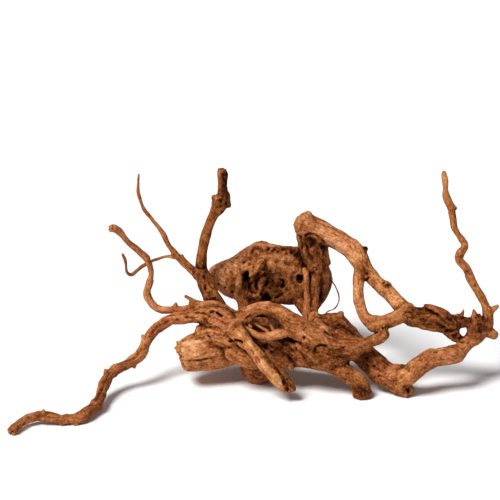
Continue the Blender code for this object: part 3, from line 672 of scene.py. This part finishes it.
score((66, 154), (70, 146), (71, 136), wide=1, deep=2, dark=0.7)
swell((77, 174), (79.5, 173), wide=1.6, high=1.6, tone=-0.2)
swell((74, 160), (74, 148), (69.5, 139), high=1, tone=-0.05)
# Painted shade on the pillar's top, beneath the overhanging end of the arch
tint((54, 193), (60, 196), (66, 193), (72, 189), (62, 184), wide=6, light=-0.25)
tint((52, 195), (56, 198), (60, 199), (56, 190), (63, 197), wide=4, light=-0.5)
tint((68, 178), (62, 171), (70, 168), (66, 160), wide=4, light=0.3)
tint((49, 196), (54, 201), (62, 203), (70, 200), wide=2.5, light=0.3)
grow((56, 166, 198, 3), (56, 156, 190, 2.8), (56.5, 140, 186, 2.6), (57.5, 114, 168, 3.2),
     melt=1.5, fibres=1)
grow((68, 166, 202, 6), (66, 152, 193, 5), (64.5, 138, 187, 3.8), (64, 114, 168, 4), tone=-0.1,
     fibres=1, lumps=0.9)

# The arch is the bare yellow part, of sound wood worn smooth. It divides round the ring
# and joins the bar again.
grow((47, 212, 200, 4.5), (51, 211.5, 200, 9), (57, 210.3, 200, 12), (64.5, 207, 200, 12.4),
     (79.5, 200, 197, 10.3), (91, 194.6, 193, 9.9), (101.8, 187, 187, 9.5),
     (109.8, 175.6, 180, 9.3), (115.4, 167, 174, 8), (125.5, 154.5, 162, 7), (137, 144.5, 152, 7),
     (147, 133.2, 142, 7.3), (155, 123.5, 136, 8.2), (162, 118, 134, 8.6), start=BROKEN, tone=0.36,
     fibres=0.5, melt=2.5)
each(grow, ((55, 213, 199, 9), (58, 221.5, 199, 4.2)),
     ((51, 211.5, 199, 7), (45.5, 211.5, 199, 2.4)), tone=0.15)
grow((112, 182, 182, 3.5), (115.5, 187.5, 182, 2.6), melt=1.5, tone=-0.5)
grow((132, 147, 154, 5.5), (136, 151, 154, 4.4), tone=0.2)
score((136, 150), (138, 150.5), wide=1.4, deep=1.8, dark=0.5)
score((133, 153), wide=0.9)
score((114, 166), (117, 162), wide=1, deep=1.3)
score((118, 158), (116, 155), wide=0.9)
score((74, 211), (86, 206), (98, 199), deep=0.8)
score((96, 195), (103, 187), deep=0.7, dark=0.2)
score((64, 218), (76, 215), wide=0.5, deep=0.8, dark=0.4)
swell((104, 192), (109, 186), (112, 178), wide=4.5, high=0.5, tone=0.25)
swell((49, 210), (53, 218), wide=3.5, high=1, tone=0.1)
score((47, 194), (51, 198.5), (57, 202), (63, 202), (69, 199), (75, 193), wide=0.9, deep=1.5,
      rough=0.4, dark=0.4)
tint((68, 202), (78, 197), (87, 192), (94, 187), (101, 179), light=0.3)
tint((115.5, 188.5), wide=3.5, light=-0.6)
tint((51, 212), (66, 213), wide=3, light=-0.4)
tint((114, 168), (117, 163), (118, 157), (124, 153), wide=6, light=-0.4)
tint((136, 151), wide=5, light=-0.2)
grow((112.5, 171, 177, 6), (109.2, 162, 172, 6.1), (108, 146, 160, 5.2), (110.4, 129, 146, 5.2),
     (115, 119, 136, 6), (123, 113, 130, 7.5), (134, 114, 128, 7), (145, 118, 129, 7.5),
     (156, 125, 134, 8.5), melt=2.5, tone=0.1)
grow((126, 113, 128, 7), (131, 106, 122, 7), (131, 100, 116, 6.5), (124, 96, 112, 5), melt=2,
     rot=0.4, lumps=1)
grow((132, 106, 119, 5.5), (132.5, 99, 117, 5.2), melt=1.5, end=BROKEN, ragged=(0, 2), rot=0.6,
     tone=-0.05)
score((120, 101), (126, 103), (131, 105), (135, 108), wide=1.2, deep=3, dark=0.5)
score((132, 108), (136, 103), (136, 97), wide=0.9, deep=2, dark=0.4)
swell((122, 109), (128, 111), (133, 113), wide=4.5, high=1.2)
swell((108, 136), (107, 146), wide=3.5, high=0.6, tone=0.2)
# Painted light on the lit left side of the inner strand
tint((107, 151), (107, 140), (110, 130), wide=6)

# The bar is darker, harder wood, which parts round a small through hole. A stub lies on it
# and two spikes stand on it, all grown out of it.
grow((160, 120, 134, 9.5), (174, 118, 133, 11), (186, 116, 132, 11.5), (194, 113, 131, 10.5),
     tone=-0.5, lumps=1.1)
grow((196, 116, 131, 7), (206, 113.5, 131, 6.8), (216, 114, 132, 4.8), (226, 112, 134, 7.5),
     (235, 112, 136, 6.4), melt=2, tone=-0.3, rot=0.6, lumps=1.2)
grow((198, 105, 130, 7), (206, 98.5, 129, 5.4), (216, 95.5, 128, 4.6), (225, 100, 130, 6.6),
     melt=2, tone=-0.2, rot=0.5, lumps=1.2)
each(grow, ((203, 112, 131, 6.2), (203, 102, 130, 5.8)),
     ((222.4, 112, 132, 6.2), (222, 101, 130, 6.2)), melt=2, tone=-0.25)
grow((174.5, 127.6, 132, 4.4), (183, 126, 130, 5.6), (192, 121, 127, 6), (202, 112, 125, 5),
     start=0.4, ragged=(1, 0), melt=1.5, tone=-0.25, lumps=1.2)
each(grow, ((208, 117, 132, 4.4), (211, 121, 132, 2.4), (213, 126, 132, 0.9)),
     ((224, 116, 133, 5), (224, 121, 133, 3), (223, 126, 133, 1.1)),
     ((205, 117, 132, 3.6), (207, 121.5, 132, 1.5)),
     ((228, 117, 133, 3.4), (229, 121.5, 133, 1.4)), melt=2, fibres=0.4, lumps=0.5, tone=-0.2)
score((174, 128), (180, 125), (188, 121), wide=1.3, deep=2.6)
score((188, 110), (197, 104), (205, 98.5), (211, 95), wide=3.2, deep=2, rough=1.6, dark=0.1)
score((197, 118), (200, 116), wide=1.2, deep=2.2)
swell((154, 125), (160, 126.5), (164, 123), wide=3.5, high=0.9, rot=0.5)
swell((155, 129), (160, 130), wide=2.6, high=0.7, tone=0.1)
each(score, ((154, 122), (159, 123.5), (163, 121)), ((160, 129), (163, 126)), wide=0.7, deep=1.1)
swell((166, 116), (174, 111), (184, 109), wide=4.5, tone=0.15)
pits((206, 103), (209, 98), (220, 114), (225, 118), (228, 120), (202, 112), (212, 118), (230, 112),
     wide=0.9, deep=1.4)
tint((200, 110), (214, 116), (224, 116), wide=8, light=-0.1)
tint((222, 120), (224, 116), (223, 110), wide=3, light=0.45)
tint((196, 108), (203, 103), wide=4)

# The antler stands on the right end and wanders up, as thin as a pencil: a hard bare
# branch that grew out of the bar, with the stubs of a few side twigs.
grow((194.1, 263.5, 190, 2.4), (195.6, 254, 188, 3.3), (196.7, 240, 186, 3.4),
     (202.2, 228, 182, 3.6), (203.4, 217, 178, 3.4), (205.3, 207, 174, 3.5), (210, 199, 170, 3.6),
     (215, 191, 166, 3.6), (211.3, 183, 163, 3.6), (208.5, 176, 160, 3.8), (215.6, 168, 156, 3.8),
     (221.2, 157, 152, 4), (227, 146, 148, 4.1), (233, 135, 143, 4.2), (236.6, 124, 139, 5.2),
     (236.4, 112, 137, 6.2), tone=-0.05, fibres=0.6, lumps=0.9)
each(grow, ((239, 124, 138, 4), (246.5, 129.5, 138, 2.2)),
     ((236, 105, 137, 6), (242.5, 101.2, 134, 4.9)),
     ((203, 229, 182, 2.6), (206.5, 228, 182, 1.4)), melt=2, fibres=0.3, lumps=0.2, tone=-0.1)
pits((202, 226), (207, 215), (211, 203), (210, 174), (217, 164), (225, 150), (232, 124), wide=0.7,
     deep=0.7)
swell((208, 180), (209, 184), wide=3, high=0.7)

# A hair-thin rootlet loops out of the stump's right side and back to the slab: one root
# fibre that dried hard, grown into the wood at both ends.
grow((74, 152, 206, 0.9), (80, 156, 204, 0.85), (86, 148, 200, 0.85), (89, 137, 195, 0.85),
     (85, 128, 188, 0.85), (77, 124, 178, 0.85), (73, 118, 168, 0.9), melt=1, fibres=0, lumps=0.15,
     tone=-0.5)

# The skin is the wood's outer face, bare of bark. It is taken off the block of space as
# one closed mesh, because the whole root grew in one piece.
inside = space < 0.0
corners = [(i, j, k) for i in (0, 1) for j in (0, 1) for k in (0, 1)]
count = sum(inside[tuple(slice(c, n - 1 + c) for c, n in zip(corner, inside.shape))]
            .astype(np.uint8) for corner in corners)
active = (count > 0) & (count < 8)
cells = np.argwhere(active)
number = np.full(count.shape, -1, np.int32)
number[active] = np.arange(len(cells), dtype=np.int32)
values = {corner: space[tuple((cells + corner).T)] for corner in corners}
total = np.zeros((len(cells), 3))
crossings = np.zeros(len(cells))
steps = np.eye(3, dtype=int)
for first in corners:
    for step in steps[::-1]:
        second = tuple(step + first)
        if second not in values:
            continue
        split = (values[first] < 0.0) != (values[second] < 0.0)
        t = values[first][split] / (values[first][split] - values[second][split])
        total[split] += first + t[:, None] * step
        crossings[split] += 1.0
spots = space_low + CELL * (cells + total / crossings[:, None])
quads = []
for axis in range(3):
    low, high = np.delete(inside, -1, axis), np.delete(inside, 0, axis)
    one, two = [k for k in range(3) if k != axis]
    for solid_below in (True, False):
        edges = np.argwhere((low & ~high) if solid_below else (~low & high))
        edges = edges[np.all(edges[:, [one, two]] > 0, axis=1)]
        ring = []
        for a, b in ((0, 0), (1, 0), (1, 1), (0, 1)):
            cell = edges.copy()
            cell[:, one] -= a
            cell[:, two] -= b
            ring.append(number[tuple(cell.T)])
        # Turned so that each face looks away from the wood
        if solid_below == (axis == 1):
            ring = ring[::-1]
        quads.append(np.stack(ring, axis=1))
quads = np.concatenate(quads)

# Crumbs that the decay leaves loose are dropped
group, before = np.arange(len(spots)), None
while not np.array_equal(before, group):
    before = group.copy()
    least = group[quads].min(axis=1)
    for corner in quads.T:
        np.minimum.at(group, corner, least)
    group = group[group]
largest = np.bincount(group).argmax()
quads = quads[group[quads[:, 0]] == largest]
used, quads = np.unique(quads, return_inverse=True)
quads = quads.reshape(-1, 4)
outside = bpy.data.meshes.new("driftwood_root")
outside.from_pydata(spots[used] * MM, [], quads, shade_flat=False)
wood = bpy.data.objects.new("driftwood_root", outside)
bpy.context.scene.collection.objects.link(wood)
MOST_TRIANGLES = 195000
if 2 * len(quads) > MOST_TRIANGLES:
    fewer = wood.modifiers.new("fewer faces", "DECIMATE")
    fewer.ratio = MOST_TRIANGLES / (2.0 * len(quads))
    fewer.use_collapse_triangulate = True
    shape = wood.evaluated_get(bpy.context.evaluated_depsgraph_get())
    lighter = bpy.data.meshes.new_from_object(shape)
    wood.modifiers.clear()
    wood.data = lighter

# The looks of every limb are read off onto the skin: its tone, its decay and the run of its grain,
# with painted shade by how deep in a crevice each spot lies.
mesh = wood.data
spots = np.empty(len(mesh.vertices) * 3, np.float32)
mesh.vertices.foreach_get("co", spots)
spots = np.clip(spots.reshape(-1, 3), *CAD_BOX)
mesh.vertices.foreach_set("co", spots.ravel())
spots = spots / MM
amount = len(spots)
UP_GRAIN = 3.0
BLEND = 1.6
LIMB_REACH, HOLLOW_REACH = 6.0, 2.5
SEED_APART = 37.0
FAR_OFF, MOST_APART, LEAST = 1e3, 30.0, 1e-6


def between(places, first, last):
    """Which of the places lie in the box from first to last."""
    return np.nonzero(np.all((places > first) & (places < last), axis=1))[0]


def reach_spots(limb, spread):
    """The spots near a limb, the distance to its skin and the grain's run there."""
    wide = limb["radii"].max() + spread
    near = between(spots, limb["centres"].min(0) - wide, limb["centres"].max(0) + wide)
    places = spots[near]

    def keep(first, last):
        part = between(places, first, last)
        return (part, places[part].T) if len(part) else None

    skin, grain = measure(limb, places.T, keep, spread)
    if limb.get("grain") == "up":
        grain = [UP_GRAIN * places[:, 2], places[:, 0], places[:, 1]]
    return near, skin, grain


nearest = np.full(amount, FAR_OFF)
grain = np.zeros((amount, 3))
reached = []
for limb in limbs:
    near, skin, run = reach_spots(limb, LIMB_REACH)
    reached.append((near, skin))
    better = skin < nearest[near]
    change = near[better]
    nearest[change] = skin[better]
    grain[change] = np.transpose(run)[better]
    grain[change, 0] += SEED_APART * limb["seed"]
tone, decay, weights, dark = np.zeros((4, amount))
for limb, (near, skin) in zip(limbs, reached):
    weight = np.exp(-np.clip(skin - nearest[near], 0.0, MOST_APART) / BLEND)
    tone[near] += weight * limb["tone"]
    decay[near] += weight * min(limb["rot"], 1.0)
    weights[near] += weight
tone /= np.maximum(weights, LEAST)
decay /= np.maximum(weights, LEAST)
# The tints add to the tone: the wood's own tone in some places, painted light and painted shade in
# others
for spot, wide, light in tints:
    apart = np.linalg.norm(spots - spot, axis=1) / wide
    tone += light * np.exp(-apart * apart)
# Painted shade darkens the face in and round each hollow: its pits, holes and cracks
for hollow in hollows:
    near, skin, _ = reach_spots(hollow, HOLLOW_REACH)
    depth = np.clip(1.0 - np.maximum(skin, 0.0) / HOLLOW_REACH, 0.0, 1.0) * hollow["dark"]
    dark[near] = np.maximum(dark[near], depth)


def crowding(half):
    """The share of wood in a cube round each spot: over a half where the wood closes round it,
    under a half on a ridge."""
    cube = max(1, round(half / CELL))
    wide = 2 * cube + 1
    filled = inside.astype(np.float32)
    for axis in range(3):
        pad = [(0, 0)] * 3
        pad[axis] = (cube + 1, cube)
        sums = np.cumsum(np.pad(filled, pad), axis=axis, dtype=np.float32)
        whole = sums.shape[axis]
        filled = (np.take(sums, range(wide, whole), axis)
                  - np.take(sums, range(whole - wide), axis)) / wide
    cell = np.clip(np.rint((spots - space_low) / CELL).astype(int), 0, space_size - 1)
    return filled[tuple(cell.T)]


# Painted shade from the share of wood round each spot: darker in crevices and recesses, with a
# little painted highlight on ridges
CREVICE_HALF, RECESS_HALF, MOST_SHADE = 3.0, 9.0, 0.6
crevice_shade = np.clip(2.0 * crowding(CREVICE_HALF) - 1.0, -0.18, MOST_SHADE)
recess_shade = np.clip(2.0 * crowding(RECESS_HALF) - 1.0, -0.1, MOST_SHADE)


def give(name, values, kind="FLOAT", key="value"):
    """Keeps a value on the mesh at each of its spots, for the material to read."""
    kept = mesh.attributes.new(name, kind, "POINT")
    kept.data.foreach_set(key, np.ascontiguousarray(values, np.float32).ravel())


give("grain", grain, "FLOAT_VECTOR", "vector")
for name, values in (("tone", tone), ("decay", decay), ("dark", dark), ("crevice_shade", crevice_shade),
                     ("recess_shade", recess_shade)):
    give(name, values)
mesh.shade_smooth()

# Bare, dry, weathered wood, dark red-brown in the decay, with fine fibres that follow each limb.
# Painted shade darkens its crevices, recesses and hollows, and painted highlight makes its ridges
# pale.
surface = bpy.data.materials.new("weathered root wood")
surface.use_nodes = True
tree = surface.node_tree
shader = tree.nodes["Principled BSDF"]


def node(kind, **settings):
    made = tree.nodes.new(kind)
    for key, value in settings.items():
        setattr(made, key, value)
    return made


def attribute(name, output="Fac"):
    return node("ShaderNodeAttribute", attribute_name=name).outputs[output]


def sums(operation, *parts):
    made = node("ShaderNodeMath", operation=operation)
    for slot, part in zip(made.inputs, parts):
        if isinstance(part, float):
            slot.default_value = part
        else:
            tree.links.new(part, slot)
    return made.outputs[0]


def noise(where, scale, detail, rough):
    made = node("ShaderNodeTexNoise")
    for name, value in (("Scale", scale), ("Detail", detail), ("Roughness", rough)):
        made.inputs[name].default_value = value
    tree.links.new(where, made.inputs["Vector"])
    return made.outputs["Fac"]


def grain_noise(stretch, width, detail, rough=0.6):
    """Noise stretched along the grain: lengths in millimetres."""
    scaled = node("ShaderNodeVectorMath", operation="MULTIPLY")
    tree.links.new(attribute("grain", "Vector"), scaled.inputs[0])
    scaled.inputs[1].default_value = (1.0 / stretch, 1.0 / width, 1.0 / width)
    return noise(scaled.outputs[0], 1.0, detail, rough)


place_of = node("ShaderNodeTexCoord").outputs["Object"]


def blotches(width, detail, rough=0.55):
    return noise(place_of, 1.0 / (width * MM), detail, rough)


def colours(stops, amount):
    """The colour between the stops that an amount from 0 to 1 calls for."""
    made = node("ShaderNodeValToRGB")
    elements = made.color_ramp.elements
    while len(elements) < len(stops):
        elements.new(0.5)
    for element, (spot, colour) in zip(elements, stops):
        element.position = spot
        element.color = (*colour, 1.0)
    tree.links.new(amount, made.inputs["Fac"])
    return made.outputs["Color"]


FIBRE_SIZE, STREAK_SIZE, SPLIT_SIZE = (8.0, 1.1), (30.0, 4.5), (26.0, 3.0)
SPECK_SIZE, BLOTCH_SIZE, HUE_SIZE = 2.4, 22.0, 34.0
SPLIT_SHARPNESS = 16.0
fibre = grain_noise(*FIBRE_SIZE, 5.0, 0.65)
speck = blotches(SPECK_SIZE, 5.0, 0.65)
split = sums("ABSOLUTE", sums("SUBTRACT", grain_noise(*SPLIT_SIZE, 2.0), 0.5))
split = sums("MINIMUM", sums("MULTIPLY", split, SPLIT_SHARPNESS), 1.0)
# What lightens or darkens the wood, how much, and what is taken off for it. The crevices, recesses
# and hollows are darkened as painted shade, the ridges paled a little as painted highlight, and
# the tone carries the painted light and shade of the tints as well as the wood's own tone.
level = 0.0
for part, share, less in ((fibre, 0.7, 0.0), (split, 0.08, 0.0),
                          (grain_noise(*STREAK_SIZE, 3.0), 0.4, 0.2),
                          (blotches(BLOTCH_SIZE, 4.0), 0.5, 0.25), (speck, 0.9, 0.45),
                          (attribute("tone"), 0.5, 0.0), (attribute("crevice_shade"), -0.95, 0.0),
                          (attribute("recess_shade"), -0.4, 0.0), (attribute("decay"), -0.05, 0.0),
                          (attribute("dark"), -0.4, 0.0)):
    level = sums("MULTIPLY_ADD", part, share, sums("SUBTRACT", level, less) if less else level)
SHADES = ((0.0, (0.020, 0.005, 0.001)), (0.2, (0.085, 0.021, 0.004)),
          (0.4, (0.21, 0.060, 0.014)), (0.6, (0.39, 0.135, 0.043)),
          (0.8, (0.59, 0.250, 0.100)), (1.0, (0.78, 0.43, 0.22)))
HUES = ((0.4, (1.0, 0.945, 1.02)), (0.6, (1.0, 1.01, 0.93)))
tinted = node("ShaderNodeVectorMath", operation="MULTIPLY")
tree.links.new(colours(SHADES, level), tinted.inputs[0])
tree.links.new(colours(HUES, blotches(HUE_SIZE, 2.0)), tinted.inputs[1])
tree.links.new(tinted.outputs[0], shader.inputs["Base Color"])
WOOD_ROUGHNESS, WOOD_SHINE = 0.72, 0.06
FIBRE_RELIEF, FIBRE_HEIGHT = 0.9, 1.0
shader.inputs["Roughness"].default_value = WOOD_ROUGHNESS
shader.inputs["Specular IOR Level"].default_value = WOOD_SHINE
bump = node("ShaderNodeBump")
bump.inputs["Strength"].default_value = FIBRE_RELIEF
bump.inputs["Distance"].default_value = FIBRE_HEIGHT * MM
height = sums("MULTIPLY_ADD", speck, 0.9, sums("MULTIPLY_ADD", split, 0.2, fibre))
tree.links.new(height, bump.inputs["Height"])
tree.links.new(bump.outputs["Normal"], shader.inputs["Normal"])
mesh.materials.clear()
mesh.materials.append(surface)
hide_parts("driftwood")
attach(wood, "root")

# The studio: a plain pale floor, a wide soft lamp from the upper left in front, and a
# pale room all round.
FLOOR_HALF = 12.0
FLOOR_PALE, FLOOR_ROUGHNESS = 0.93, 0.9
LAMP_STRENGTH, LAMP_ANGLE = 3.9, 24.0
LAMP_FALLS = (0.62, 0.55, -1.1)
ROOM_STRENGTH = 0.21
scene = bpy.context.scene
floor_mesh = bpy.data.meshes.new("floor")
floor_mesh.from_pydata([(FLOOR_HALF * x, FLOOR_HALF * y, 0.0)
                        for x, y in ((-1, -1), (1, -1), (1, 1), (-1, 1))], [], [(0, 1, 2, 3)])
floor = bpy.data.objects.new("floor", floor_mesh)
scene.collection.objects.link(floor)
paper = bpy.data.materials.new("pale floor")
paper.use_nodes = True
sheet = paper.node_tree.nodes["Principled BSDF"]
sheet.inputs["Base Color"].default_value = (FLOOR_PALE, FLOOR_PALE, FLOOR_PALE, 1.0)
sheet.inputs["Roughness"].default_value = FLOOR_ROUGHNESS
floor_mesh.materials.append(paper)

lamp_data = bpy.data.lights.new("soft lamp", "SUN")
lamp_data.energy = LAMP_STRENGTH
lamp_data.angle = math.radians(LAMP_ANGLE)
lamp = bpy.data.objects.new("soft lamp", lamp_data)
scene.collection.objects.link(lamp)
lamp.rotation_euler = Vector(LAMP_FALLS).to_track_quat("-Z", "Y").to_euler()

room = bpy.data.worlds.new("pale room")
room.use_nodes = True
light = room.node_tree.nodes["Background"]
light.inputs["Color"].default_value = (1.0, 1.0, 1.0, 1.0)
light.inputs["Strength"].default_value = ROOM_STRENGTH
scene.world = room
scene.view_settings.view_transform = "Standard"
